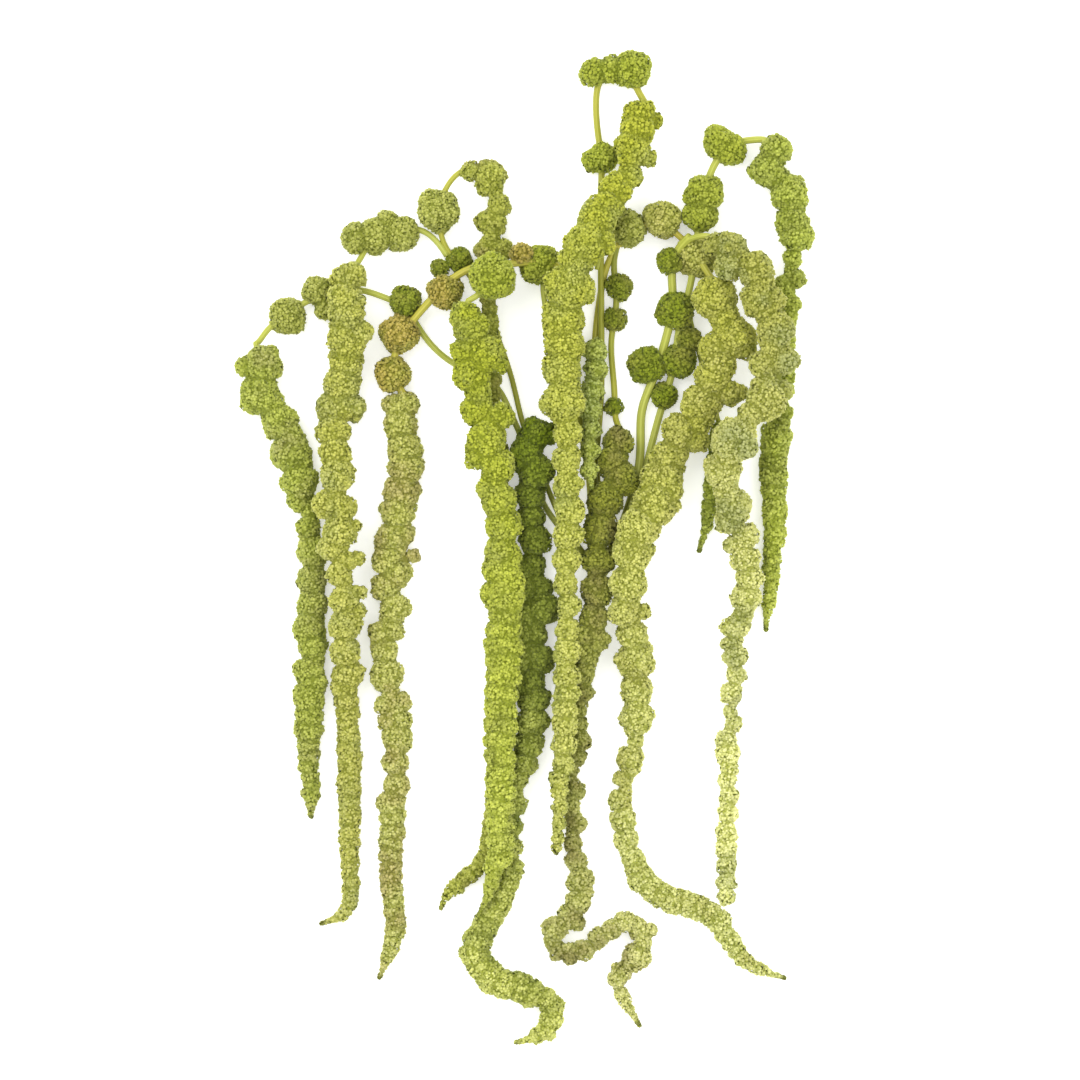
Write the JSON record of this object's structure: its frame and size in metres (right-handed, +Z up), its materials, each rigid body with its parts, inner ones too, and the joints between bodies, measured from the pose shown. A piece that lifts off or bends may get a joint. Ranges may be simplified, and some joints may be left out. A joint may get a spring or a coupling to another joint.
{
  "type": "amaranth seed head",
  "caption": "Cut hanging amaranth seed head, laid flat: bare stems fan out from a short main stem, arch over with loose balls of florets and end in long knobbly tails.",
  "frame": {"origin": "middle of the bottom of the bounding box, on the surface that the head lies on", "axes": "+Y from the tips of the tails towards the top of the arch, +X to the right seen from above, +Z up from the surface"},
  "size_m": [0.3178, 0.5498, 0.0514],
  "materials": {
    "stem": "smooth, finely ribbed, pale yellow-green",
    "outer_left": "matt florets, mid green",
    "inner_left": "matt florets, pale yellow-green",
    "russet": "matt florets, brownish yellow-green with a russet shade",
    "front_left": "matt florets, vivid lime green",
    "deep_green": "matt florets, dark green with a brighter end",
    "hooked": "matt florets, olive green",
    "centre": "matt florets, bright yellow-green",
    "slender": "matt florets, greyish green",
    "olive": "matt florets, dark brownish olive",
    "broad_right": "matt florets, yellow-green",
    "pale_right": "matt florets, pale green with a grey shade",
    "outer_right": "matt florets, deep green",
    "short_right": "matt florets, mid green"
  },
  "bodies": {
    "root": {"stem": "stem", "outer_left": "outer_left", "inner_left": "inner_left", "russet": "russet", "front_left": "front_left", "deep_green": "deep_green", "hooked": "hooked", "centre": "centre", "slender": "slender", "olive": "olive", "broad_right": "broad_right", "pale_right": "pale_right", "outer_right": "outer_right", "short_right": "short_right"}
  },
  "joints": []
}
